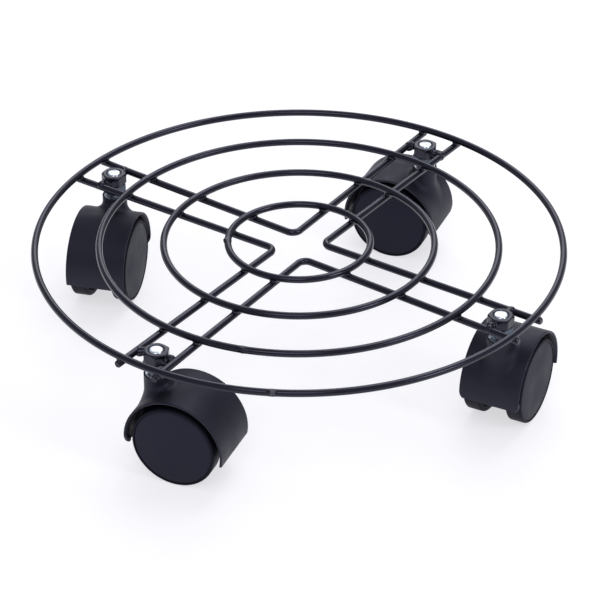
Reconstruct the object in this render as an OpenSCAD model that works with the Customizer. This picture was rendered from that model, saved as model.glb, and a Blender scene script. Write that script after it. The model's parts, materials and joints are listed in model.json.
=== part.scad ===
// Plant pot caddy: a round tray of welded wire that rolls on four twin-wheel swivel casters.
// Frame: +Z is up, and the origin is on the floor below the middle of the tray.
// The four arms, each a pair of wires that holds a caster, lie on the diagonals between X and Y.
// Lengths are millimetres and angles are degrees.

/* [Tray] */
// Outside diameter of the tray
tray_d = 300; // [250:5:380]
// Distance from one ring to the next, between their centrelines
ring_pitch = 36; // [30:1:44]
// Diameter of the wire of the rings
ring_wire_d = 4; // [3:0.5:6]
// Diameter of the wire of the spokes
spoke_wire_d = 4; // [3:0.5:6]
// Depth by which a ring and a spoke sink into each other where they are welded
weld_sink = 0.3; // [0.1:0.1:0.6]

/* [Arms] */
// Distance from the outer ring's centreline in to a caster's stem
stem_inset = 16; // [12:1:24]
// Distance between the two wires of an arm at its nut, between their centrelines
arm_gap = 23.2; // [20:0.4:32]
// Angle by which each wire leans away from the middle of its arm
arm_spread = 1; // [0:0.5:3]
// Bend radius of a spoke, at the centreline of its wire
spoke_bend_r = 5; // [4:0.5:9]
// Distance from the outside of the outer ring to the cut end of a spoke
spoke_overhang = 1; // [0:0.5:3]
// Chamfer on a spoke's cut end
spoke_end_chamfer = 0.6; // [0.2:0.1:1]

/* [Weld nuts] */
// Diameter of the stem's thread, which the nut's thread takes
thread_d = 8; // [6:1:10]
// Width of the nut across its flats
nut_af = 13; // [12:0.5:16]
// Height of the nut
nut_h = 6.5; // [5:0.5:9]
// Height of the nut's top above the spoke wires
nut_rise = 2; // [0:0.5:4]
// Diameter of the bead of weld on each side of the nut
weld_bead_d = 3.4; // [2:0.2:4]

/* [Stems] */
// Height of the stem's cut top above the nut
stem_rise = 0.3; // [0:0.1:3]
// Width of the stem's hexagon across its flats
stem_hex_af = 13; // [12:0.5:16]
// Height of the stem's hexagon
stem_hex_h = 4.5; // [3:0.5:6]
// Angle between the stem's hexagon and the nut, where the thread came up tight
stem_hex_turn = 12; // [0:1:59]
// Diameter of the round shoulder below the hexagon
shoulder_d = 10; // [9.5:0.1:11.8]
// Height of the round shoulder
shoulder_h = 3.7; // [2:0.1:6]
// Diameter of the pin that the hood turns on
pin_d = 7.9; // [6:0.1:9]
// Length of the pin below its washer
pin_len = 24; // [18:1:27]
// Radial running clearance between the pin and the hood
pin_clear = 0.05; // [0.02:0.01:0.1]
// Thickness of the washer below the shoulder
washer_t = 1; // [0.6:0.1:1.2]
// Width of the spring ring that grips the hood, from its inside to its outside
grip_ring_w = 1.35; // [1:0.05:1.5]
// Thickness of the spring ring
grip_ring_t = 1.2; // [0.8:0.1:2]
// Height of the spring ring above the pin's lower end
grip_ring_rise = 3.5; // [3:0.5:6]
// Gap in the spring ring
grip_ring_split = 1.5; // [1:0.5:3]

/* [Hoods] */
// Width of a hood along the axle
hood_w = 35; // [32:1:44]
// Thickness of the hood's curved cover
hood_wall = 2.3; // [1.5:0.1:3]
// Gap between a wheel's tread and the hood over it
wheel_gap = 2.4; // [1:0.1:3]
// Distance along the floor from the stem to the axle
trail = 16; // [13:0.5:20]
// Outside diameter of the collar round the stem
collar_d = 14.4; // [14:0.2:17.4]
// Height of the collar above the top of the curved cover
collar_rise = 5.3; // [2:0.1:9]
// Thickness of the collar's rim round the washer
collar_rim = 0.95; // [0.8:0.05:1.2]
// Depth of the recess that the washer lies in
washer_recess = 1.5; // [1.2:0.1:2.5]
// Height of the cover's front edge above the floor
front_edge_h = 20.5; // [18:0.5:26]
// Height of the cover's rear edge above the floor
rear_edge_h = 19.4; // [18:0.1:26]
// Diameter of the rounded lip on the cover's front edge
front_lip_d = 2.9; // [2.4:0.1:3.6]
// Thickness of the web between the two wheels
web_t = 6; // [4:0.5:10]
// Diameter of the boss round the axle
axle_boss_d = 13; // [11:0.5:16]
// Thickness of plastic below the stem's socket
socket_floor_t = 3; // [2:0.5:4]

/* [Wheels] */
// Diameter of a wheel
wheel_d = 48; // [41:1:60]
// Distance from the hood's side edge in to the wheel's outer face
wheel_inset = 0.25; // [0:0.05:1]
// Gap between a wheel and the web side of the hood
wheel_side_gap = 0.55; // [0.4:0.05:1]
// Rounding of the wheel's two outer edges
tread_round = 1.2; // [0.5:0.1:2]
// Width of the bare rim round the cover disc
rim_face_w = 1.5; // [1.5:0.1:4]
// Width of the ledge that the cover disc sits on
cover_ledge_w = 1.6; // [1:0.1:3]
// Thickness of the cover disc at its edge
cover_t = 1.8; // [1.2:0.1:2.2]
// Depth of the cover disc's edge below the rim
cover_step = 0.3; // [0:0.05:0.6]
// Height of the cover disc's crown at its middle
cover_crown = 0.7; // [0.3:0.1:1.5]
// Diameter of the wheel's hub
hub_d = 12; // [9:0.5:14]
// Thickness of the wheel's web and of its ribs
wheel_web_t = 1.5; // [1:0.1:2]
// Number of ribs on the wheel's inner side
rib_count = 6; // [4:1:10]

/* [Axles] */
// Diameter of the axle
axle_d = 5; // [4:0.5:6]
// Radial running clearance between the axle and a hub
axle_clear = 0.05; // [0.02:0.01:0.1]
// Diameter of the push-on clip at each end of the axle
clip_d = 9.5; // [8:0.5:12]
// Thickness of the push-on clip
clip_t = 0.8; // [0.6:0.1:1]

/* [Casters at rest] */
// Direction from the stem to the axle: back right, back left, front left, front right
trail_angles = [147, 246, 327, 53]; // [0:1:359]

/* [Hidden] */
$fn = 64;
corners = ["back_right", "back_left", "front_left", "front_right"];
quarters = ["right", "back", "left", "front"];
rings = ["outer_ring", "second_ring", "third_ring", "inner_ring"];
corner_parts = ["weld_nut", "stem", "washer", "grip_ring", "hood", "axle", "axle_clips",
    "wheel_a", "wheel_b", "wheel_cover_a", "wheel_cover_b"];

// Small distances that the pieces share
seat_gap = 0.1;        // between flat faces that slide on each other
groove_depth = 0.75;   // of the spring ring's groove in the pin
grip_groove_gap = 0.3; // round the spring ring, in its groove in the hood
flush_gap = 0.6;       // between the axle's end and the cover disc
overlap = 1;           // by which a cutting shape passes the face that it cuts
boss_gap = 0.3;        // between the axle's boss and a wheel's hub
turned_chamfer = 0.6;  // on the ends of stems and axles
nut_chamfer_angle = 30;
nut_turn = 30;         // of a hexagon, so that two of its corners point at the arm's wires
nut_face_edge = 0.2;   // by which the nut's round face is smaller than its flats

// Caster, from the floor up
axle_z = wheel_d / 2;
hood_in_r = wheel_d / 2 + wheel_gap;
hood_r = hood_in_r + hood_wall;
collar_top_z = axle_z + hood_r + collar_rise;
washer_seat_z = collar_top_z - washer_recess;
washer_z = washer_seat_z + seat_gap;
shoulder_z = washer_z + washer_t;
stem_hex_z = shoulder_z + shoulder_h;
pin_end_z = washer_z - pin_len;
socket_floor_z = pin_end_z - flush_gap;
socket_r = pin_d / 2 + pin_clear;
grip_ring_z = pin_end_z + grip_ring_rise;
groove_floor_r = pin_d / 2 - groove_depth;
grip_ring_in_r = groove_floor_r + pin_clear;
grip_ring_r = grip_ring_in_r + grip_ring_w;
washer_r = collar_d / 2 - collar_rim - seat_gap;

// Tray, on top of the casters
nut_z = stem_hex_z + stem_hex_h;
nut_top_z = nut_z + nut_h;
spoke_z = nut_top_z - nut_rise - spoke_wire_d / 2;
ring_z = spoke_z + (spoke_wire_d + ring_wire_d) / 2 - weld_sink;
ring_r = tray_d / 2 - ring_wire_d / 2;
stem_r = ring_r - stem_inset;

// Spoke: two straight legs that leave the bend at leg_angle to the quarter's middle line
leg_angle = 45 - arm_spread;
leg_at_nut = [(stem_r + arm_gap / 2) / sqrt(2), (stem_r - arm_gap / 2) / sqrt(2)];
leg_corner_x = leg_at_nut.x - leg_at_nut.y / tan(leg_angle);
leg_start = spoke_bend_r * tan(90 - leg_angle);
bend_lap = 0.2;        // by which a leg reaches into the bend
bend_swell = 0.04;     // by which bending fattens the wire
spoke_end_r = tray_d / 2 + spoke_overhang;
leg_end = sqrt(spoke_end_r ^ 2 - (leg_corner_x * sin(leg_angle)) ^ 2)
    - leg_corner_x * cos(leg_angle);
bend_x = leg_corner_x + spoke_bend_r / sin(leg_angle);

// Wheel, measured from its inner face towards its cover disc
wheel_in_y = collar_d / 2 + wheel_side_gap;
wheel_w = hood_w / 2 - wheel_inset - wheel_in_y;
cover_r = wheel_d / 2 - rim_face_w;
cover_seat = wheel_w - cover_step - cover_t;
axle_half = wheel_in_y + cover_seat - flush_gap;
clip_y = axle_half - turned_chamfer - clip_t;
hub_len = clip_y - 2 * seat_gap - wheel_in_y;
hub_bore_r = axle_d / 2 + axle_clear;
rim_in_r = cover_r - cover_ledge_w;
cover_fit = 0.1;       // gap between the cover disc's edge and the rim
crown_steps = 8;       // straight steps in the cover disc's crown, from its middle to its edge
rib_end = hub_len - wheel_web_t;
rib_start = 0.8;       // height of the hub's edge that stands clear of the ribs

// Places the children at the stem of caster k
module at_stem(k) {
    rotate([0, 0, 45 + 90 * k]) translate([stem_r, 0, 0]) children();
}

// Places the children in caster k, where X runs from the stem towards the axle
module at_caster(k) {
    at_stem(k) rotate([0, 0, trail_angles[k] - 45 - 90 * k]) children();
}

// Places the children on axle k, where Z runs along the axle to the side given, 1 or -1
module at_axle(k, side) {
    at_caster(k) translate([trail, 0, axle_z]) rotate([-90 * side, 0, 0]) children();
}

// ---- Tray ----

// A ring is one length of wire, rolled round and butt-welded
module tray_ring(index) {
    color("#1b1b1f")
        translate([0, 0, ring_z])
        rotate_extrude()
        translate([ring_r - index * ring_pitch, 0])
        circle(d = ring_wire_d);
}

// A round rod that stands on Z = 0, with a chamfer at its upper end
module rod(d, h, chamfer) {
    straight = h - chamfer;
    cylinder(d = d, h = straight);
    translate([0, 0, straight]) cylinder(d1 = d, d2 = d - 2 * chamfer, h = chamfer);
}

// The straight part of a spoke's wire on one side of the quarter's middle line
module spoke_leg(side) {
    rotate([0, 0, side * leg_angle])
        rotate([0, 90, 0])
        translate([0, 0, leg_start - bend_lap])
        rod(spoke_wire_d, leg_end - leg_start + bend_lap, spoke_end_chamfer);
}

// A spoke is a wire bent to a V: each of its legs is one wire of an arm
module spoke(k) {
    color("#1b1b1f")
        rotate([0, 0, 90 * k]) translate([0, 0, spoke_z]) {
            translate([bend_x, 0, 0])
                rotate([0, 0, 90 + leg_angle])
                rotate_extrude(angle = 180 - 2 * leg_angle)
                translate([spoke_bend_r, 0])
                circle(d = spoke_wire_d + bend_swell);
            translate([leg_corner_x, 0, 0]) spoke_leg(1);
            translate([leg_corner_x, 0, 0]) spoke_leg(-1);
        }
}

// A hexagon prism whose top corners are turned off to a round face
module hex_head(af, h) {
    corner_r = af / sqrt(3);
    top_r = af / 2 - nut_face_edge;
    cone_h = (corner_r - top_r) * tan(nut_chamfer_angle);
    intersection() {
        cylinder(r = corner_r, h = h, $fn = 6);
        union() {
            cylinder(r = corner_r + overlap, h = h - cone_h);
            translate([0, 0, h - cone_h]) cylinder(r1 = corner_r, r2 = top_r, h = cone_h);
        }
    }
}

// A plain hexagon nut, welded between the two wires of an arm with its corners towards them
module weld_nut(k) {
    bead_start = nut_af / 2 - overlap;
    color("#1b1b1f")
        difference() {
            at_stem(k) difference() {
                union() {
                    translate([0, 0, nut_z]) rotate([0, 0, nut_turn]) hex_head(nut_af, nut_h);
                    for (side = [-1, 1])
                        translate([0, side * bead_start, spoke_z])
                            rotate([-90 * side, 0, 0])
                            cylinder(d = weld_bead_d, h = arm_gap / 2 - bead_start);
                }
                translate([0, 0, nut_z - overlap]) cylinder(d = thread_d, h = nut_h + 2 * overlap);
                translate([0, 0, nut_top_z - turned_chamfer])
                    cylinder(d1 = thread_d, d2 = thread_d + 4 * turned_chamfer, h = 2 * turned_chamfer);
            }
            spoke(k);
            spoke((k + 1) % len(quarters));
        }
}

// ---- Casters: the stem and what is on it stay still while the hood turns ----

// A turned steel stem: thread above, then the hexagon, the shoulder and the pin
module stem(k) {
    color("#c8ccd0")
        at_stem(k) {
            translate([0, 0, stem_hex_z])
                rod(thread_d, stem_hex_h + nut_h + stem_rise, turned_chamfer);
            translate([0, 0, stem_hex_z])
                rotate([0, 0, nut_turn + stem_hex_turn])
                cylinder(r = stem_hex_af / sqrt(3), h = stem_hex_h, $fn = 6);
            translate([0, 0, shoulder_z]) cylinder(d = shoulder_d, h = shoulder_h + stem_hex_h / 2);
            difference() {
                translate([0, 0, shoulder_z + shoulder_h])
                    rotate([180, 0, 0]) rod(pin_d, shoulder_z + shoulder_h - pin_end_z, turned_chamfer);
                translate([0, 0, grip_ring_z - pin_clear]) difference() {
                    cylinder(d = pin_d + overlap, h = grip_ring_t + 2 * pin_clear);
                    translate([0, 0, -overlap])
                        cylinder(r = groove_floor_r, h = grip_ring_t + 2 * overlap);
                }
            }
        }
}

// The bright washer that the stem's shoulder presses on the hood's collar
module washer(k) {
    color("#d4d7da")
        at_stem(k) translate([0, 0, washer_z]) difference() {
            cylinder(r = washer_r, h = washer_t);
            translate([0, 0, -overlap]) cylinder(r = socket_r, h = washer_t + 2 * overlap);
        }
}

// The split spring ring in the pin's groove, which keeps the hood from dropping off
module grip_ring(k) {
    color("#9a9da2")
        at_stem(k) translate([0, 0, grip_ring_z]) difference() {
            cylinder(r = grip_ring_r, h = grip_ring_t);
            translate([0, 0, -overlap]) cylinder(r = grip_ring_in_r, h = grip_ring_t + 2 * overlap);
            translate([0, -grip_ring_split / 2, -overlap])
                cube([2 * grip_ring_r, grip_ring_split, grip_ring_t + 2 * overlap]);
        }
}

// ---- Casters: the hood and what turns with it ----

// The curved cover over both wheels, an arch with a straight front and rear edge
module hood_cover() {
    edge_box = [2 * hood_r, hood_w + 2 * overlap, 2 * hood_r];
    lip_r = hood_r - front_lip_d / 2;
    lip_drop = front_edge_h + front_lip_d / 2 - axle_z;
    translate([trail, 0, axle_z]) {
        difference() {
            rotate([90, 0, 0]) cylinder(r = hood_r, h = hood_w, center = true);
            rotate([90, 0, 0]) cylinder(r = hood_in_r, h = hood_w + 2 * overlap, center = true);
            translate([-edge_box.x, -edge_box.y / 2, lip_drop - edge_box.z]) cube(edge_box);
            translate([0, -edge_box.y / 2, rear_edge_h - axle_z - edge_box.z]) cube(edge_box);
        }
        translate([-sqrt(lip_r ^ 2 - lip_drop ^ 2), 0, lip_drop])
            rotate([90, 0, 0]) cylinder(d = front_lip_d, h = hood_w, center = true);
    }
}

// The web between the wheels, which joins the cover, the stem's socket and the axle's boss
module hood_web() {
    web_low_z = axle_z - axle_boss_d / 4;
    boss_w = 2 * (wheel_in_y - boss_gap);
    intersection() {
        translate([trail, 0, axle_z])
            rotate([90, 0, 0]) cylinder(r = hood_in_r + hood_wall / 2, h = hood_w, center = true);
        translate([trail - hood_r, -web_t / 2, web_low_z]) cube([2 * hood_r, web_t, 2 * hood_r]);
    }
    translate([trail, 0, axle_z])
        rotate([90, 0, 0]) cylinder(d = axle_boss_d, h = boss_w, center = true);
}

// The moulded hood: cover, web and collar in one piece, with bores for the stem and the axle
module hood(k) {
    socket_end_z = socket_floor_z - socket_floor_t;
    color("#222226")
        at_caster(k) difference() {
            union() {
                hood_cover();
                hood_web();
                translate([0, 0, socket_end_z]) cylinder(d = collar_d, h = collar_top_z - socket_end_z);
            }
            translate([0, 0, socket_floor_z]) cylinder(r = socket_r, h = collar_top_z);
            translate([0, 0, washer_seat_z]) cylinder(r = washer_r + seat_gap, h = collar_top_z);
            translate([0, 0, grip_ring_z - grip_groove_gap])
                cylinder(r = grip_ring_r + grip_groove_gap, h = grip_ring_t + 2 * grip_groove_gap);
            translate([trail, 0, axle_z])
                rotate([90, 0, 0]) cylinder(d = axle_d, h = hood_w, center = true);
        }
}

// The steel axle, pressed into the hood's boss, with a wheel on each end
module axle(k) {
    straight = 2 * (axle_half - turned_chamfer);
    color("#9a9da2")
        at_axle(k, 1) {
            cylinder(d = axle_d, h = straight, center = true);
            for (side = [-1, 1])
                rotate([90 - 90 * side, 0, 0])
                    translate([0, 0, straight / 2])
                    cylinder(d1 = axle_d, d2 = axle_d - 2 * turned_chamfer, h = turned_chamfer);
        }
}

// The two push-on clips that keep the wheels on the axle
module axle_clips(k) {
    color("#9a9da2")
        for (side = [-1, 1]) at_axle(k, side)
            translate([0, 0, clip_y]) difference() {
                cylinder(d = clip_d, h = clip_t);
                translate([0, 0, -overlap]) cylinder(d = axle_d, h = clip_t + 2 * overlap);
            }
}

// ---- Casters: the wheels ----

// Section of the tread from the inner face to the outer face, with rounded corners
module tread_section() {
    wheel_r = wheel_d / 2;
    difference() {
        union() {
            translate([rim_in_r, 0]) square([wheel_r - rim_in_r - tread_round, wheel_w]);
            translate([rim_in_r, tread_round]) square([wheel_r - rim_in_r, wheel_w - 2 * tread_round]);
            for (y = [tread_round, wheel_w - tread_round])
                translate([wheel_r - tread_round, y]) circle(r = tread_round);
        }
        translate([rim_in_r - overlap, cover_seat])
            square([cover_r + cover_fit - rim_in_r + overlap, wheel_w]);
    }
}

// A moulded wheel: tread, web and hub, ribbed on the side that faces the hood's web
module wheel(k, side) {
    color("#26262b")
        at_axle(k, side) translate([0, 0, wheel_in_y]) {
            rotate_extrude() {
                tread_section();
                translate([hub_bore_r, rib_end]) square([rim_in_r - hub_bore_r + overlap / 2, wheel_web_t]);
                translate([hub_bore_r, 0]) square([hub_d / 2 - hub_bore_r, hub_len]);
            }
            for (i = [0 : rib_count - 1])
                rotate([0, 0, i * 360 / rib_count])
                    translate([hub_d / 2 - overlap / 2, -wheel_web_t / 2, rib_start])
                    cube([rim_in_r - hub_d / 2 + overlap, wheel_web_t, rib_end - rib_start + overlap / 2]);
        }
}

// The smooth, slightly crowned disc that snaps into a wheel's outer face
module wheel_cover(k, side) {
    crown = [for (i = [0 : crown_steps])
        let (share = i / crown_steps)
        [share * cover_r, cover_t + cover_crown * (1 - share ^ 2)]];
    color("#2b2b31")
        at_axle(k, side) translate([0, 0, wheel_in_y + cover_seat])
        rotate_extrude()
        polygon(concat([[0, 0]], crown, [[cover_r, 0]]));
}

for (i = [0 : len(rings) - 1])
    tray_ring(i);
for (k = [0 : len(quarters) - 1])
    spoke(k);
for (k = [0 : len(corners) - 1]) {
    weld_nut(k);
    stem(k);
    washer(k);
    grip_ring(k);
    hood(k);
    axle(k);
    axle_clips(k);
    wheel(k, 1);
    wheel(k, -1);
    wheel_cover(k, 1);
    wheel_cover(k, -1);
}
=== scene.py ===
import json
import math
import random

import bmesh
import bpy
import numpy as np
from mathutils import Matrix, Vector


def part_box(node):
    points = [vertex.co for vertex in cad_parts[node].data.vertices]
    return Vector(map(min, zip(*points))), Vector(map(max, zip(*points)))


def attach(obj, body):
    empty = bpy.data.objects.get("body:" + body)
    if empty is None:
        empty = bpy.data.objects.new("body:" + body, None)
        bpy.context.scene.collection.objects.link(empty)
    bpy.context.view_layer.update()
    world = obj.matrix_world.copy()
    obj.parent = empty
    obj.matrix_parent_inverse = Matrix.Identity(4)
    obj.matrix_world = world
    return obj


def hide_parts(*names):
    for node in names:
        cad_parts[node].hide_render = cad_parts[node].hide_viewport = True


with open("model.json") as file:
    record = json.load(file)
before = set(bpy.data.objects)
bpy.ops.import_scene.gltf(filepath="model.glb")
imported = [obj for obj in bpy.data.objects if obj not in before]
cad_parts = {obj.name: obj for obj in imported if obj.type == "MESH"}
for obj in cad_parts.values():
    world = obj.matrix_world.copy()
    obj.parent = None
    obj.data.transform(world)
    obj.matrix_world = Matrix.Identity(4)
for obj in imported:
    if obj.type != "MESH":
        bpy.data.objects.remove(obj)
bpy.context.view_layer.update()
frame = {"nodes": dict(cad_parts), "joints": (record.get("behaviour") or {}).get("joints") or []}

# ---- Rings ----
# Four hoops of 4 mm mild steel wire. Each is rolled round, and its ends are butt-welded with a
# little upset metal. They are powder coated black, together with the rest of the tray.
MM = 0.001


def linear(code):
    """The linear colour of an sRGB hex code."""
    channels = [int(code[i:i + 2], 16) / 255 for i in (1, 3, 5)]
    return [c / 12.92 if c <= 0.04045 else ((c + 0.055) / 1.055) ** 2.4 for c in channels] + [1.0]


def add_node(material, kind, links, **settings):
    """Adds a node with its settings; links gives an input a value or the output that feeds it."""
    node = material.node_tree.nodes.new("ShaderNode" + kind)
    for name, value in settings.items():
        setattr(node, name, value)
    for socket, source in links.items():
        if isinstance(source, bpy.types.NodeSocket):
            material.node_tree.links.new(source, node.inputs[socket])
        else:
            node.inputs[socket].default_value = source
    return node


def new_finish(name, metallic, roughness, ior=1.5, sheen_tint="#ffffff"):
    """A material with the plain values of a finish, and the shader node that holds them."""
    material = bpy.data.materials.new(name)
    material.use_nodes = True
    shader = material.node_tree.nodes["Principled BSDF"]
    shader.inputs["Metallic"].default_value = metallic
    shader.inputs["Roughness"].default_value = roughness
    shader.inputs["IOR"].default_value = ior
    shader.inputs["Specular Tint"].default_value = linear(sheen_tint)
    return material, shader


def noise(material, place, size, detail=2.0):
    """The level of a noise, with features of a size in millimetres."""
    return add_node(material, "TexNoise", {"Vector": place, "Scale": 1 / (size * MM),
                                           "Detail": detail}).outputs["Fac"]


def two_tone(material, level, dark, light):
    """A colour that runs from dark to light with a noise's level."""
    # A Mix node takes its two colours at inputs 6 and 7 and gives the result at output 2
    return add_node(material, "Mix", {0: level, 6: linear(dark), 7: linear(light)},
                    data_type="RGBA").outputs[2]


def uneven(material, level, low, high):
    """A value that runs from low to high over the range that a noise's level mostly fills."""
    return add_node(material, "MapRange", {"Value": level, "From Min": 0.3, "From Max": 0.7,
                                           "To Min": low, "To Max": high}).outputs[0]


def bumps(material, height, strength, depth):
    """The shading of a relief, with a depth in millimetres."""
    return add_node(material, "Bump", {"Height": height, "Strength": strength,
                                       "Distance": depth * MM}).outputs[0]


def gloss_powder_coat():
    """Polyester powder, sprayed and baked. It melts to a deep gloss over a low orange peel, with
    thick and thin places and a few pips of dust under the skin."""
    pip_spacing, pip_share, pip_height = 9, 0.09, 1.5
    material, shader = new_finish("gloss black powder coat", metallic=0.0, roughness=0.2,
                                  sheen_tint="#dcdcff")
    link = material.node_tree.links.new
    place = add_node(material, "TexCoord", {}).outputs["Object"]
    peel = noise(material, place, size=2.4)
    thick = noise(material, place, size=16)
    pips = add_node(material, "TexVoronoi", {"Vector": place, "Scale": 1 / (pip_spacing * MM)})
    pip = add_node(material, "MapRange",
                   {"Value": pips.outputs["Distance"], "From Min": 0.0, "From Max": pip_share,
                    "To Min": 1.0, "To Max": 0.0}, interpolation_type="SMOOTHSTEP")
    relief = add_node(material, "Math", {0: pip.outputs[0], 1: pip_height, 2: peel},
                      operation="MULTIPLY_ADD")
    bump = bumps(material, relief.outputs[0], strength=0.6, depth=0.06)
    shade = two_tone(material, thick, "#08080b", "#15151b")
    gloss = uneven(material, thick, low=0.13, high=0.26)
    link(shade, shader.inputs["Base Color"])
    link(gloss, shader.inputs["Roughness"])
    link(bump, shader.inputs["Normal"])
    return material


def smooth_mesh(name, bm, crease=35):
    """The mesh of a bmesh, shaded smooth except at edges that turn by more than the crease."""
    mesh = bpy.data.meshes.new(name)
    bm.to_mesh(mesh)
    bm.free()
    mesh.shade_smooth()
    mesh.set_sharp_from_angle(angle=math.radians(crease))
    return mesh


def add_piece(name, mesh, body, slot, finish, *nodes):
    """Puts a finished mesh on a body, in place of the CAD nodes that it stands for."""
    made = bpy.data.objects.new(name, mesh)
    bpy.context.scene.collection.objects.link(made)
    mesh.materials.append(finish)
    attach(made, body)
    if nodes:
        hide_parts(*nodes)


def painted_weld_highlight():
    """A lighter grey patch for the outer ring's weld nub, mottled with fine marks. It is a painted
    highlight: it stands in for the bright spot of light on the weld."""
    material, shader = new_finish("painted highlight on the weld nub", metallic=0.3, roughness=0.42)
    link = material.node_tree.links.new
    place = add_node(material, "TexCoord", {}).outputs["Object"]
    marks = noise(material, place, size=0.6)
    shade = two_tone(material, marks, "#2e2e36", "#5c5c66")
    bump = bumps(material, marks, strength=0.4, depth=0.03)
    link(shade, shader.inputs["Base Color"])
    link(bump, shader.inputs["Normal"])
    return material


coat = gloss_powder_coat()
weld_highlight = painted_weld_highlight()
WIRE_R = 2.0
WIRE_SIDES = 28
HOOP_STEPS = 720
SEAM_WIDTH = 1.4
SEAM_SWELL = 0.2
NUB_HEIGHT = 0.75
NUB_REACH = 1.4
NUB_TAPER = 5
NUB_LEAN = (0.8, 0.6)
SEAM_ANGLES = {"outer_ring": -105.6, "second_ring": -115.6, "third_ring": 48, "inner_ring": 170}
ring_radii = {}

for ring_name, seam_angle in SEAM_ANGLES.items():
    low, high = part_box(ring_name)
    ring_radii[ring_name] = high.x / MM - WIRE_R
    ring_r, ring_z = ring_radii[ring_name], (low.z + high.z) / 2 / MM
    bm = bmesh.new()
    bmesh.ops.create_circle(
        bm, segments=WIRE_SIDES, radius=WIRE_R,
        matrix=Matrix.Translation((ring_r, 0, ring_z)) @ Matrix.Rotation(math.pi / 2, 4, "X"))
    bmesh.ops.spin(bm, geom=bm.verts[:] + bm.edges[:], axis=(0, 0, 1), cent=(0, 0, 0),
                   angle=math.tau, steps=HOOP_STEPS, use_merge=True)
    seam = math.radians(seam_angle)
    outwards_up = Vector((NUB_LEAN[0] * math.cos(seam), NUB_LEAN[0] * math.sin(seam), NUB_LEAN[1]))
    nub = Vector((math.cos(seam) * ring_r, math.sin(seam) * ring_r, ring_z)) + outwards_up * WIRE_R
    # The faces round the tip of the outer ring's weld nub take a lighter grey, a painted highlight
    for face in bm.faces:
        if ring_name == "outer_ring" and (face.calc_center_median() - nub).length < NUB_REACH:
            face.material_index = 1
    for vert in bm.verts:
        angle = math.atan2(vert.co.y, vert.co.x)
        middle = Vector((math.cos(angle) * ring_r, math.sin(angle) * ring_r, ring_z))
        turn = (angle - seam + math.pi) % math.tau - math.pi
        outwards = (vert.co - middle) / WIRE_R
        facing = max(0, outwards.dot(outwards_up))
        past_seam = turn * ring_r / SEAM_WIDTH
        swell = (SEAM_SWELL + NUB_HEIGHT * facing ** NUB_TAPER) * math.exp(-past_seam ** 2)
        vert.co += outwards * swell * (1 - max(0, outwards.z) ** 4)
    bmesh.ops.scale(bm, vec=(MM, MM, MM), verts=bm.verts)
    bmesh.ops.recalc_face_normals(bm, faces=bm.faces)
    hoop = smooth_mesh(ring_name, bm)
    add_piece(ring_name + "_hoop", hoop, "frame", "frame_coat", coat, ring_name)
    # The outer ring's second material is the painted highlight on its weld nub
    if ring_name == "outer_ring":
        hoop.materials.append(weld_highlight)

# ---- Spokes ----
# Four lengths of the same 4 mm wire, each bent to a V at the middle of the tray. Two legs of
# neighbouring spokes run side by side as the two wires of an arm, and are cut off past the rim.


def dress(finish, *names):
    """Gives CAD nodes a finish in their own material slots."""
    for name in names:
        mesh = frame["nodes"][name].data
        mesh.materials.clear()
        mesh.materials.append(finish)


QUARTERS = ["right", "back", "left", "front"]
CORNERS = ["back_right", "back_left", "front_left", "front_right"]
dress(coat, *["spoke_" + quarter for quarter in QUARTERS])

# ---- Spot welds ----
# Where a ring lies on a spoke, the two wires are resistance welded. They sink into each other,
# and the metal that is squeezed out freezes as a small fillet, which the coating rounds further.


def joined(a, b, fillet):
    """The distance to two shapes that are joined with a fillet."""
    corner = np.hypot(np.maximum(fillet - a, 0), np.maximum(fillet - b, 0))
    return np.maximum(fillet, np.minimum(a, b)) - corner


def trimmed(a, b, rounding):
    """The distance to what two shapes have in common, with its edge rounded."""
    corner = np.hypot(np.maximum(rounding + a, 0), np.maximum(rounding + b, 0))
    return np.minimum(-rounding, np.maximum(a, b)) + corner


def rod_gap(points, start, direction, radius):
    """The distance to an endless round rod."""
    away = points - np.array(start)
    along = away @ np.array(direction)
    return np.sqrt(np.maximum((away ** 2).sum(1) - along ** 2, 0)) - radius


# A probe of a skin's slope reaches a twentieth of a voxel
PROBE_SHARE = 20
SETTLINGS = 4
LEAST_SLOPE = 0.05


def cast(name, bm, voxel, skin, relaxings=4):
    """The mesh, in millimetres, of a rough bmesh that is remeshed as one solid and then settled
    on a skin: a function that gives each point's distance to the true surface."""
    rough = bpy.data.meshes.new("rough")
    bm.to_mesh(rough)
    bm.free()
    blank = bpy.data.objects.new("rough", rough)
    bpy.context.scene.collection.objects.link(blank)
    remesh = blank.modifiers.new("remesh", "REMESH")
    remesh.voxel_size = voxel
    graph = bpy.context.evaluated_depsgraph_get()
    mesh = bpy.data.meshes.new_from_object(blank.evaluated_get(graph))
    bpy.data.objects.remove(blank)
    mesh.name = name
    points = np.empty(len(mesh.vertices) * 3)
    mesh.vertices.foreach_get("co", points)
    points = points.reshape(-1, 3)
    ends = np.empty(len(mesh.edges) * 2, int)
    mesh.edges.foreach_get("vertices", ends)
    ends = ends.reshape(-1, 2)
    neighbours = np.bincount(ends.ravel(), minlength=len(points))[:, None]
    probes = np.eye(3) * voxel / PROBE_SHARE
    for relaxing in range(relaxings + 1):
        for _ in range(SETTLINGS):
            slope = np.stack([skin(points + probe) - skin(points - probe) for probe in probes], 1)
            slope /= 2 * voxel / PROBE_SHARE
            steepness = np.maximum((slope ** 2).sum(1), LEAST_SLOPE)
            move = -(skin(points) / steepness)[:, None] * slope
            length = np.maximum(np.linalg.norm(move, axis=1, keepdims=True), 1e-9)
            points = points + move * np.minimum(1, voxel / length)
        if relaxing < relaxings:
            around = np.zeros_like(points)
            np.add.at(around, ends[:, 0], points[ends[:, 1]])
            np.add.at(around, ends[:, 1], points[ends[:, 0]])
            points = (points + around / neighbours) / 2
    mesh.vertices.foreach_set("co", points.ravel())
    mesh.update()
    return mesh


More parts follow.
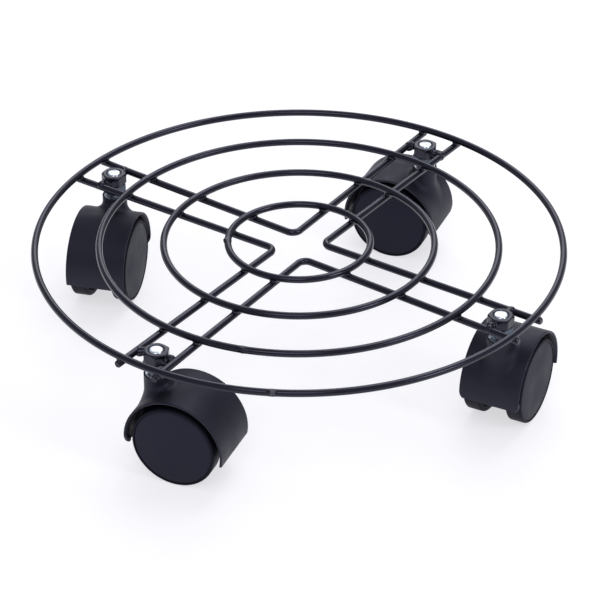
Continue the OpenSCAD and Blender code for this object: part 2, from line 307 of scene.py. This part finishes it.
ARM_GAP = 23.2
ARM_SPREAD = 1
WELD_REACH = 3.1
WELD_FILLET = 1.5
WELD_SINK = 0.06
WELD_EDGE = 0.3
WELD_VOXEL = 0.32
swivels = {joint["name"]: joint for joint in frame["joints"]}
stem_r = Vector(swivels["swivel_back_right"]["pos_m"][:2]).length / MM
leg_angle = math.radians(45 - ARM_SPREAD)
leg_direction = (math.cos(leg_angle), math.sin(leg_angle), 0)
low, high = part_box("spoke_right")
spoke_z = (low.z + high.z) / 2 / MM
leg_point = Vector((stem_r + ARM_GAP / 2, stem_r - ARM_GAP / 2, spoke_z * math.sqrt(2)))
leg_point /= math.sqrt(2)

weld_bm = bmesh.new()
for ring_name, ring_r in ring_radii.items():
    low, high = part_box(ring_name)
    ring_z = (low.z + high.z) / 2 / MM
    flat_point, flat_direction = leg_point.to_2d(), Vector(leg_direction[:2])
    closest = flat_point.dot(flat_direction)
    reach = math.sqrt(ring_r ** 2 - flat_point.length_squared + closest ** 2)
    crossing = flat_point + flat_direction * (reach - closest)
    middle = (crossing.x, crossing.y, (ring_z + spoke_z) / 2)

    def weld_skin(points):
        from_hoop = np.hypot(points[:, 0], points[:, 1]) - ring_r
        hoop = np.hypot(from_hoop, points[:, 2] - ring_z) - WIRE_R
        leg = rod_gap(points, leg_point, leg_direction, WIRE_R)
        ball = np.linalg.norm(points - np.array(middle), axis=1) - WELD_REACH
        return trimmed(joined(hoop + WELD_SINK, leg + WELD_SINK, WELD_FILLET), ball, WELD_EDGE)

    tangent = math.atan2(crossing.x, -crossing.y)
    bm = bmesh.new()
    for z, turn in ((ring_z, tangent), (spoke_z, leg_angle)):
        lie = Matrix.Translation((crossing.x, crossing.y, z)) @ Matrix.Rotation(turn, 4, "Z")
        bmesh.ops.create_cone(bm, segments=24, radius1=WIRE_R, radius2=WIRE_R,
                              depth=2 * WELD_REACH - 2, cap_ends=True,
                              matrix=lie @ Matrix.Rotation(math.pi / 2, 4, "Y"))
    weld = cast("weld", bm, WELD_VOXEL, weld_skin)
    for side in (1, -1):
        for quarter in range(4):
            part = bmesh.new()
            part.from_mesh(weld)
            bmesh.ops.scale(part, vec=(MM, side * MM, MM), verts=part.verts)
            bmesh.ops.rotate(part, verts=part.verts,
                             matrix=Matrix.Rotation(quarter * math.pi / 2, 3, "Z"))
            if side < 0:
                bmesh.ops.reverse_faces(part, faces=part.faces)
            one = bpy.data.meshes.new("weld")
            part.to_mesh(one)
            part.free()
            weld_bm.from_mesh(one)
add_piece("spot_welds", smooth_mesh("spot_welds", weld_bm, 60), "frame", "frame_coat", coat)

# ---- Weld nuts ----
# A plain M8 hexagon nut between the two wires of each arm, its corners towards them. It is held
# by a lumpy bead of weld on each side, and the coating softens its edges.
NUT_AF = 13
NUT_EDGE = 0.35
NUT_CHAMFER = 0.3
NUT_CORNER_R = 7.4
NUT_VOXEL = 0.33
BEAD_SEED = 40
BEAD_R = 1.7
BEAD_SINK = 0.2
BEAD_SHARES = (0.1, 0.45, 0.8, 1.0)
BEAD_SWAY = 2.2
BEAD_RISES = (-0.6, 1.0)
BEAD_SIZES = (1.9, 2.9)
BEAD_FILLET = 0.5
BORE_CHAMFER = 0.6
THREAD_R = 4.0


def bored(name, blank, *cutters):
    """The mesh of a blank with each cutter, which is a bmesh, cut out of it."""
    body = bpy.data.objects.new("blank", blank)
    bpy.context.scene.collection.objects.link(body)
    tools = []
    for cutter in cutters:
        mesh = bpy.data.meshes.new("cutter")
        cutter.to_mesh(mesh)
        cutter.free()
        tools.append(bpy.data.objects.new("cutter", mesh))
        bpy.context.scene.collection.objects.link(tools[-1])
        cut = body.modifiers.new("cut", "BOOLEAN")
        cut.operation = "DIFFERENCE"
        cut.object = tools[-1]
    graph = bpy.context.evaluated_depsgraph_get()
    mesh = bpy.data.meshes.new_from_object(body.evaluated_get(graph))
    for used in tools + [body]:
        bpy.data.objects.remove(used)
    mesh.name = name
    return mesh


def turned(outline, steps=96):
    """A bmesh of an outline of (radius, height) pairs, spun round Z. It is closed at the axis."""
    bm = bmesh.new()
    points = [bm.verts.new((radius, 0, height)) for radius, height in outline]
    edges = [bm.edges.new(pair) for pair in zip(points, points[1:])]
    bmesh.ops.spin(bm, geom=points + edges, axis=(0, 0, 1), cent=(0, 0, 0), angle=math.tau,
                   steps=steps, use_merge=True)
    bmesh.ops.remove_doubles(bm, verts=bm.verts, dist=1e-5)
    bmesh.ops.recalc_face_normals(bm, faces=bm.faces)
    return bm


def corner_matrix(corner):
    """Carries a piece made round a stem, in millimetres, to its corner. X points outwards."""
    stem = Vector(swivels["swivel_" + corner]["pos_m"][:2])
    turn = math.atan2(stem.y, stem.x)
    return Matrix.Translation((*stem, 0)) @ Matrix.Rotation(turn, 4, "Z") @ Matrix.Scale(MM, 4)


def placed(mesh, matrix, crease=50):
    """A copy of a mesh, carried to its place and shaded smooth again, but not at its creases."""
    copy = mesh.copy()
    copy.transform(matrix)
    copy.shade_smooth()
    copy.set_sharp_from_angle(angle=math.radians(crease))
    return copy


low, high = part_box("weld_nut_back_right")
nut_z, nut_top = low.z / MM, high.z / MM
for index, corner in enumerate(CORNERS):
    lumps = random.Random(BEAD_SEED + index)
    beads = []
    for side in (1, -1):
        for share in BEAD_SHARES:
            y = side * (NUT_AF / 2 - BEAD_SINK + share * (ARM_GAP - NUT_AF) / 2)
            beads.append((lumps.uniform(-BEAD_SWAY, BEAD_SWAY), y,
                          spoke_z + lumps.uniform(*BEAD_RISES), lumps.uniform(*BEAD_SIZES)))

    def nut_skin(points):
        x, y, z = points.T
        around = np.hypot(x, y)
        nut = np.abs(x) - NUT_AF / 2
        for turn in (math.pi / 3, -math.pi / 3):
            flat = np.abs(x * math.cos(turn) + y * math.sin(turn)) - NUT_AF / 2
            nut = trimmed(nut, flat, NUT_EDGE)
        nut = trimmed(nut, np.maximum(z - nut_top, nut_z - z), NUT_EDGE)
        # The top is turned off at 30 degrees, which leaves its corners low
        chamfer = (around - NUT_AF / 2 + NUT_CHAMFER) / 2 + (z - nut_top) * 0.866
        nut = trimmed(nut, chamfer, NUT_CHAMFER)
        for *place, size in beads:
            lump = np.linalg.norm(points - np.array(place), axis=1) - size
            nut = joined(nut, lump, BEAD_FILLET)
        return nut

    bm = bmesh.new()
    bmesh.ops.create_cone(bm, segments=6, radius1=NUT_CORNER_R, radius2=NUT_CORNER_R,
                          depth=nut_top - nut_z, cap_ends=True,
                          matrix=Matrix.Translation((0, 0, (nut_z + nut_top) / 2))
                          @ Matrix.Rotation(math.pi / 6, 4, "Z"))
    bmesh.ops.create_cone(bm, segments=24, radius1=BEAD_R, radius2=BEAD_R, depth=ARM_GAP,
                          cap_ends=True, matrix=Matrix.Translation((0, 0, spoke_z))
                          @ Matrix.Rotation(math.pi / 2, 4, "X"))
    blank = cast("nut", bm, NUT_VOXEL, nut_skin)
    bore = turned([(0, nut_z - 1), (THREAD_R, nut_z - 1), (THREAD_R, nut_top - BORE_CHAMFER),
                   (THREAD_R + BORE_CHAMFER, nut_top), (THREAD_R + BORE_CHAMFER, nut_top + 2),
                   (0, nut_top + 2)], 64)
    nut = bored("weld_nut_" + corner, blank, bore)
    add_piece("welded_nut_" + corner, placed(nut, corner_matrix(corner)), "frame", "frame_coat",
              coat, "weld_nut_" + corner)

# ---- Stems ----
# Each is turned from hexagon bar: an M8 thread in the nut, a hexagon, a round shoulder and the
# pin that the hood swivels on. It is bright zinc plated, which leaves a faint blue cast.


def bright_zinc():
    """Electroplated zinc with a clear blue passivate: a bright metal with soft cloudy patches
    and a very fine grain."""
    material, shader = new_finish("bright zinc plating", metallic=1.0, roughness=0.24)
    link = material.node_tree.links.new
    place = add_node(material, "TexCoord", {}).outputs["Object"]
    clouds = noise(material, place, size=3.5, detail=3.0)
    grain = noise(material, place, size=0.35, detail=1.0)
    shade = two_tone(material, clouds, "#b4bec6", "#d8dde2")
    gloss = uneven(material, clouds, low=0.2, high=0.28)
    bump = bumps(material, grain, strength=0.15, depth=0.01)
    link(shade, shader.inputs["Base Color"])
    link(gloss, shader.inputs["Roughness"])
    link(bump, shader.inputs["Normal"])
    return material


def shaded_hex_zinc():
    """The same plating, darker and duller on the hexagon: a blue-grey with darker patches. It is
    painted shade, for the shade that falls on the hexagon under the nut."""
    material, shader = new_finish("zinc with painted shade on the hexagon", metallic=1.0, roughness=0.45)
    link = material.node_tree.links.new
    place = add_node(material, "TexCoord", {}).outputs["Object"]
    # The noise named scale gives the painted shade its darker patches, and varies its gloss and
    # bumps
    scale = noise(material, place, size=1.2, detail=3.0)
    shade = two_tone(material, scale, "#3a414c", "#77828f")
    gloss = uneven(material, scale, low=0.36, high=0.52)
    bump = bumps(material, scale, strength=0.3, depth=0.02)
    link(shade, shader.inputs["Base Color"])
    link(gloss, shader.inputs["Roughness"])
    link(bump, shader.inputs["Normal"])
    return material


zinc = bright_zinc()
hex_shade_zinc = shaded_hex_zinc()
STEM_HEX_AF = 13
STEM_HEX_TURN = 42
STEM_HEX_ROUND = 0.3
SHOULDER_R = 5.0
SHOULDER_H = 3.7
SHOULDER_CHAMFER = 0.25
PIN_R = 3.95
PIN_CHAMFER = 0.6
GROOVE_UP = 3.5
GROOVE_W = 1.3
GROOVE_DEPTH = 0.75
THREAD_RUN = 3
THREAD_GAP = 0.02
# How far the thread's tip is in from the thread's radius and down from the top
TIP = ((THREAD_GAP, 0.65), (0.6, 0.06), (0.75, 0))
low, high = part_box("washer_back_right")
washer_top = high.z / MM
low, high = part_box("stem_back_right")
pin_z, stem_top = low.z / MM, high.z / MM
groove_z = pin_z + GROOVE_UP
groove_top = groove_z + GROOVE_W
stem_bm = turned([
    (0, pin_z), (PIN_R - PIN_CHAMFER, pin_z), (PIN_R, pin_z + PIN_CHAMFER), (PIN_R, groove_z),
    (PIN_R - GROOVE_DEPTH, groove_z), (PIN_R - GROOVE_DEPTH, groove_top), (PIN_R, groove_top),
    (PIN_R, washer_top), (SHOULDER_R - SHOULDER_CHAMFER, washer_top),
    (SHOULDER_R, washer_top + SHOULDER_CHAMFER), (SHOULDER_R, nut_z - THREAD_RUN),
    (THREAD_R - THREAD_GAP, nut_z - THREAD_RUN),
    *[(THREAD_R - inwards, stem_top - down) for inwards, down in TIP], (0, stem_top)])
hexagon_bm = bmesh.new()
hex_h = nut_z - washer_top - SHOULDER_H
bmesh.ops.create_cone(
    hexagon_bm, segments=6, radius1=STEM_HEX_AF / math.sqrt(3), radius2=STEM_HEX_AF / math.sqrt(3),
    depth=hex_h, cap_ends=True, matrix=Matrix.Translation((0, 0, nut_z - hex_h / 2))
    @ Matrix.Rotation(math.radians(STEM_HEX_TURN), 4, "Z"))
bmesh.ops.bevel(hexagon_bm, geom=hexagon_bm.edges[:], offset=STEM_HEX_ROUND, segments=3,
                profile=0.5, affect="EDGES", material=-1)
hexagon = bpy.data.meshes.new("hexagon")
hexagon_bm.to_mesh(hexagon)
hexagon_bm.free()
turned_faces = len(stem_bm.faces)
stem_bm.from_mesh(hexagon)
stem_bm.faces.ensure_lookup_table()
# The hexagon's faces take the darker blue-grey, painted shade under the nut
for face in stem_bm.faces[turned_faces:]:
    face.material_index = 1
stem = smooth_mesh("stem", stem_bm)
for corner in CORNERS:
    placed_stem = placed(stem, corner_matrix(corner))
    add_piece("turned_stem_" + corner, placed_stem, "frame", "zinc", zinc, "stem_" + corner)
    # The second material is the painted shade on the hexagon
    placed_stem.materials.append(hex_shade_zinc)

# ---- Washers and spring rings ----
# The washer is a bright stamping in the collar's recess. The spring ring is a split steel ring in
# the pin's groove, which snaps into the hood and keeps it from dropping off.


def plain_steel():
    """Bright drawn and turned steel, lightly oiled: a grey metal with fine marks."""
    material, shader = new_finish("turned steel", metallic=1.0, roughness=0.35)
    link = material.node_tree.links.new
    place = add_node(material, "TexCoord", {}).outputs["Object"]
    marks = noise(material, place, size=0.5)
    shade = two_tone(material, marks, "#85888c", "#a9acb0")
    gloss = uneven(material, marks, low=0.28, high=0.45)
    link(shade, shader.inputs["Base Color"])
    link(gloss, shader.inputs["Roughness"])
    return material


steel = plain_steel()
dress(zinc, *["washer_" + corner for corner in CORNERS])
dress(steel, *["grip_ring_" + corner for corner in CORNERS])

# ---- Hoods ----
# Each is one moulding of black nylon: an arch over both wheels, a web between them with a boss
# for the axle, and a collar round the stem that runs out of the arch in a soft fillet.


def moulded_nylon(name, dark, light, roughness, ior, flow_size):
    """Glass-filled nylon, moulded against a spark-eroded tool. It is satin, with a fine even
    grain, and slightly uneven where it flowed and cooled."""
    smoother, rougher = 0.05, 0.07
    material, shader = new_finish(name, 0.0, roughness, ior, "#d8d8ff")
    link = material.node_tree.links.new
    place = add_node(material, "TexCoord", {}).outputs["Object"]
    grain = noise(material, place, size=0.45)
    flow = noise(material, place, flow_size)
    shade = two_tone(material, flow, dark, light)
    gloss = uneven(material, flow, roughness - smoother, roughness + rougher)
    bump = bumps(material, grain, strength=0.5, depth=0.04)
    link(shade, shader.inputs["Base Color"])
    link(gloss, shader.inputs["Roughness"])
    link(bump, shader.inputs["Normal"])
    return material


HOOD_HALF_W = 17.5
WALL = 2.3
REAR_TIP = 1.4
LIP_R = 1.45
LIP_CORNER = 5
COLLAR_R = 7.2
COLLAR_FILLET = 4.5
RIM_ROUND = 0.5
RIM_DRAFT = 1.2
RIM_DEPTH = 2.5
EDGE_ROUND = 0.6
INNER_FILLET = 0.8
REAR_TAPER_TOP = 5
REAR_TAPER = 9.6
FRONT_STEP = 1.1
COLLAR_RISE = 5.3
COLLAR_SPARE = 0.6
COLLAR_WALL = 0.95
COLLAR_CHAMFER = 0.5
RECESS_CHAMFER = 0.2
WEB_T = 6
BOSS_R = 6.5
BOSS_HALF_W = 7.45
BOSS_EDGE = 0.7
SOCKET_R = 4.0
SOCKET_DEPTH = 26
WASHER_SEAT = 1.5
AXLE_R = 2.5
HOOD_VOXEL = 0.5
hood_nylon = moulded_nylon("satin black nylon", "#121217", "#1b1b23",
                           roughness=0.5, ior=1.46, flow_size=12)
spins = {corner: [swivels[f"spin_{side}_{corner}"] for side in "ab"] for corner in CORNERS}
axle_place = Vector(spins["back_right"][0]["pos_m"]) / MM
stem_place = Vector(swivels["swivel_back_right"]["pos_m"]) / MM
trail = (axle_place - stem_place).to_2d().length
axle_z = axle_place.z
low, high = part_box("hood_back_right")
collar_top, rear_z = high.z / MM, low.z / MM
hood_r = collar_top - COLLAR_RISE - axle_z
hood_in_r = hood_r - WALL
front_z = rear_z + FRONT_STEP + LIP_R
lip_x = trail - math.sqrt((hood_r - LIP_R) ** 2 - (front_z - axle_z) ** 2)
socket_floor = collar_top - SOCKET_DEPTH


def caster_matrix(corner):
    """Carries a piece made in a caster, in millimetres, to its corner. X points to the axle."""
    stem = Vector(swivels["swivel_" + corner]["pos_m"][:2])
    along = Vector(spins[corner][0]["pos_m"][:2]) - stem
    turn = math.atan2(along.y, along.x)
    return Matrix.Translation((*stem, 0)) @ Matrix.Rotation(turn, 4, "Z") @ Matrix.Scale(MM, 4)


def hood_skin(points):
    """The distance to the hood's surface in its caster, with every edge and corner rounded."""
    x, y, z = points.T
    from_axle = np.hypot(x - trail, z - axle_z)
    thin = np.clip((axle_z + REAR_TAPER_TOP - z) / REAR_TAPER, 0, 1) * (x > trail)
    side = np.abs(y) - HOOD_HALF_W
    inside = hood_in_r + np.maximum((WALL - REAR_TIP) * thin ** 2 * (3 - 2 * thin),
                                    RIM_DRAFT * np.clip(1 + side / RIM_DEPTH, 0, 1))
    past = np.clip(side + LIP_CORNER, 0, LIP_CORNER)
    front = front_z + LIP_CORNER - np.sqrt(LIP_CORNER ** 2 - past ** 2)
    edge = np.where(x < trail, front - z, rear_z - z)
    arch = trimmed(np.maximum(from_axle - hood_r, inside - from_axle), edge, EDGE_ROUND)
    lip = np.hypot(x - lip_x, z - front) - LIP_R
    arch = trimmed(np.minimum(arch, lip), side, RIM_ROUND)
    web = np.maximum(np.abs(y) - WEB_T / 2, from_axle - hood_r + WALL / 2)
    web = trimmed(web, axle_z - BOSS_R / 2 - z, EDGE_ROUND)
    boss = trimmed(from_axle - BOSS_R, np.abs(y) - BOSS_HALF_W, BOSS_EDGE)
    below = joined(joined(arch, web, INNER_FILLET), boss, INNER_FILLET)
    ends = np.maximum(z - collar_top - COLLAR_SPARE, socket_floor - 3 - z)
    collar = trimmed(np.hypot(x, y) - COLLAR_R, ends, EDGE_ROUND)
    fillet = np.where(from_axle > hood_r - WALL / 2, COLLAR_FILLET, INNER_FILLET)
    return joined(below, collar, fillet)


to_caster = caster_matrix("back_right").inverted()
bm = bmesh.new()
bm.from_mesh(frame["nodes"]["hood_back_right"].data)
bmesh.ops.remove_doubles(bm, verts=bm.verts, dist=1e-6)
bmesh.ops.transform(bm, matrix=to_caster, verts=bm.verts)
plug_height = collar_top + COLLAR_SPARE - socket_floor + 1
plug_middle = socket_floor - 1 + plug_height / 2
bmesh.ops.create_cone(bm, segments=48, radius1=COLLAR_R - 0.1, radius2=COLLAR_R - 0.1,
                      depth=plug_height, cap_ends=True,
                      matrix=Matrix.Translation((0, 0, plug_middle)))
across = Matrix.Translation((trail, 0, axle_z)) @ Matrix.Rotation(math.pi / 2, 4, "X")
bmesh.ops.create_cone(bm, segments=48, radius1=AXLE_R + 1, radius2=AXLE_R + 1,
                      depth=2 * BOSS_HALF_W - 0.1, cap_ends=True, matrix=across)
blank = cast("hood", bm, HOOD_VOXEL, hood_skin)
recess_r = COLLAR_R - COLLAR_WALL
socket = turned([(0, socket_floor), (SOCKET_R, socket_floor), (SOCKET_R, collar_top - WASHER_SEAT),
                 (recess_r, collar_top - WASHER_SEAT), (recess_r, collar_top - RECESS_CHAMFER),
                 (recess_r + RECESS_CHAMFER, collar_top),
                 (COLLAR_R - COLLAR_CHAMFER / 2, collar_top),
                 (COLLAR_R + COLLAR_CHAMFER / 2, collar_top - COLLAR_CHAMFER),
                 (COLLAR_R + 2, collar_top - COLLAR_CHAMFER), (COLLAR_R + 2, collar_top + 3),
                 (0, collar_top + 3)])
axle_bore = bmesh.new()
bmesh.ops.create_cone(axle_bore, segments=64, radius1=AXLE_R, radius2=AXLE_R, depth=40,
                      cap_ends=True, matrix=across)
hood = bored("hood", blank, socket, axle_bore)
for corner in CORNERS:
    add_piece("moulded_hood_" + corner, placed(hood, caster_matrix(corner)),
              "caster_" + corner, "hood_plastic", hood_nylon, "hood_" + corner)

# ---- Axles and clips ----
# A plain 5 mm steel pin, pressed into the hood's boss, with a push-on clip at each end that
# keeps a wheel on. The wheels' discs cover them.
dress(steel, *["axle_" + corner for corner in CORNERS])
dress(steel, *["axle_clips_" + corner for corner in CORNERS])

# ---- Wheels ----
# Hard black nylon mouldings, 48 mm across: a tread, a thin web and a hub, ribbed on the side
# towards the hood's web. The tread is matter than the hood from rolling.
wheel_nylon = moulded_nylon("matt black nylon", "#0b0b12", "#14141d",
                            roughness=0.6, ior=1.3, flow_size=9)
dress(wheel_nylon, *[f"wheel_{side}_{corner}" for side in "ab" for corner in CORNERS])

# ---- Wheel discs ----
# A smooth, slightly crowned disc snaps into the outer face of each wheel and hides the clip. It
# is moulded in a greyer satin plastic, and its edge is rounded.
disc_plastic = moulded_nylon("satin charcoal disc", "#1c1c25", "#262633",
                             roughness=0.55, ior=1.32, flow_size=16)
DISC_R = 22.5
DISC_EDGE = 1.8
DISC_CROWN = 0.7
DISC_BACK = 15.15
CROWN_STEPS = 16


def wheel_matrix(side, corner):
    """Carries a piece made round an axle, in millimetres, to its corner. Z points outwards."""
    spin = swivels[f"spin_{side}_{corner}"]
    outwards = Vector(spin["axis"]) * (1 if side == "a" else -1)
    turn = outwards.to_track_quat("Z", "Y").to_matrix().to_4x4()
    return Matrix.Translation(spin["pos_m"]) @ turn @ Matrix.Scale(MM, 4)


crown = [(DISC_R * step / CROWN_STEPS,
          DISC_BACK + DISC_EDGE + DISC_CROWN * (1 - (step / CROWN_STEPS) ** 2))
         for step in range(CROWN_STEPS - 1, -1, -1)]
disc_outline = [(0, DISC_BACK), (DISC_R - 0.1, DISC_BACK), (DISC_R, DISC_BACK + 0.1),
                (DISC_R, DISC_BACK + DISC_EDGE - 0.35),
                (DISC_R - 0.1, DISC_BACK + DISC_EDGE - 0.1),
                (DISC_R - 0.35, DISC_BACK + DISC_EDGE)] + crown
disc = smooth_mesh("disc", turned(disc_outline, 128))
for side in "ab":
    for corner in CORNERS:
        add_piece(f"snap_disc_{side}_{corner}", placed(disc, wheel_matrix(side, corner)),
                  f"wheel_{side}_{corner}", "cover_plastic", disc_plastic,
                  f"wheel_cover_{side}_{corner}")

# ---- Floor, light and camera ----
# A white sweep under four soft boxes, with a dim white room round it. The object stands on it
# and leaves only a soft shadow at its wheels.
GLOW = 0.64
SWEEP_REACH = 6.0


def white_sweep():
    """A matt white sweep. Eyes, mirrors and metal see it glow white, and it keeps the soft shadow;
    light that bounces off it to the object is that of plain white paper."""
    material, paper = new_finish("white paper sweep", metallic=0.0, roughness=0.95)
    link = material.node_tree.links.new
    path = add_node(material, "LightPath", {})
    mirrored = add_node(material, "Math",
                        {0: path.outputs["Is Glossy Ray"], 1: path.outputs["Is Transmission Ray"]},
                        operation="MAXIMUM")
    seen = add_node(material, "Math", {0: path.outputs["Is Camera Ray"], 1: mirrored.outputs[0]},
                    operation="MAXIMUM")
    paper.inputs["Base Color"].default_value = linear("#eeeef2")
    shade = add_node(material, "BsdfDiffuse", {"Color": linear("#bababa")})
    glow = add_node(material, "Emission", {"Color": linear("#fcfcff"), "Strength": GLOW})
    white = add_node(material, "AddShader", {0: shade.outputs[0], 1: glow.outputs[0]})
    mix = add_node(material, "MixShader",
                   {0: seen.outputs[0], 1: paper.outputs[0], 2: white.outputs[0]})
    link(mix.outputs[0], material.node_tree.nodes["Material Output"].inputs["Surface"])
    return material


bm = bmesh.new()
bmesh.ops.create_grid(bm, x_segments=1, y_segments=1, size=SWEEP_REACH)
floor_mesh = bpy.data.meshes.new("floor")
bm.to_mesh(floor_mesh)
bm.free()
floor_mesh.materials.append(white_sweep())
floor = bpy.data.objects.new("floor", floor_mesh)
bpy.context.scene.collection.objects.link(floor)

ROOM_LEVEL = 0.46
world = bpy.data.worlds.new("white room")
bpy.context.scene.world = world
world.use_nodes = True
background = world.node_tree.nodes["Background"]
background.inputs["Color"].default_value = linear("#eeeeff")
background.inputs["Strength"].default_value = ROOM_LEVEL

LAMP_DISTANCE = 2.6


def soft_box(name, azimuth, elevation, size, power):
    """A square area lamp that looks at the object from an azimuth and an elevation."""
    a, e = math.radians(azimuth), math.radians(elevation)
    lamp = bpy.data.lights.new(name, "AREA")
    lamp.size = size
    lamp.energy = power
    lit = bpy.data.objects.new(name, lamp)
    lit.location = LAMP_DISTANCE * Vector(
        (math.sin(a) * math.cos(e), -math.cos(a) * math.cos(e), math.sin(e)))
    lit.rotation_euler = (-lit.location).to_track_quat("-Z", "Y").to_euler()
    bpy.context.scene.collection.objects.link(lit)


soft_box("front", -20, 50, 1.2, 11)
soft_box("key", 48, 32, 0.7, 11)
soft_box("top", 135, 62, 1.2, 14)
soft_box("back", 168, 35, 1.6, 14)

AIM = Vector((-0.0104, -0.0602, 0.0725))
view_azimuth, view_elevation = math.radians(-10.28), math.radians(33.19)
view_distance = 1.4144
camera_data = bpy.data.cameras.new("camera")
camera_data.lens = 156.7
camera_data.sensor_width = 36
camera = bpy.data.objects.new("camera", camera_data)
camera.location = AIM + view_distance * Vector((
    math.sin(view_azimuth) * math.cos(view_elevation),
    -math.cos(view_azimuth) * math.cos(view_elevation),
    math.sin(view_elevation)))
camera.rotation_euler = (AIM - camera.location).to_track_quat("-Z", "Y").to_euler()
bpy.context.scene.collection.objects.link(camera)
bpy.context.scene.camera = camera
bpy.context.scene.view_settings.view_transform = "Standard"
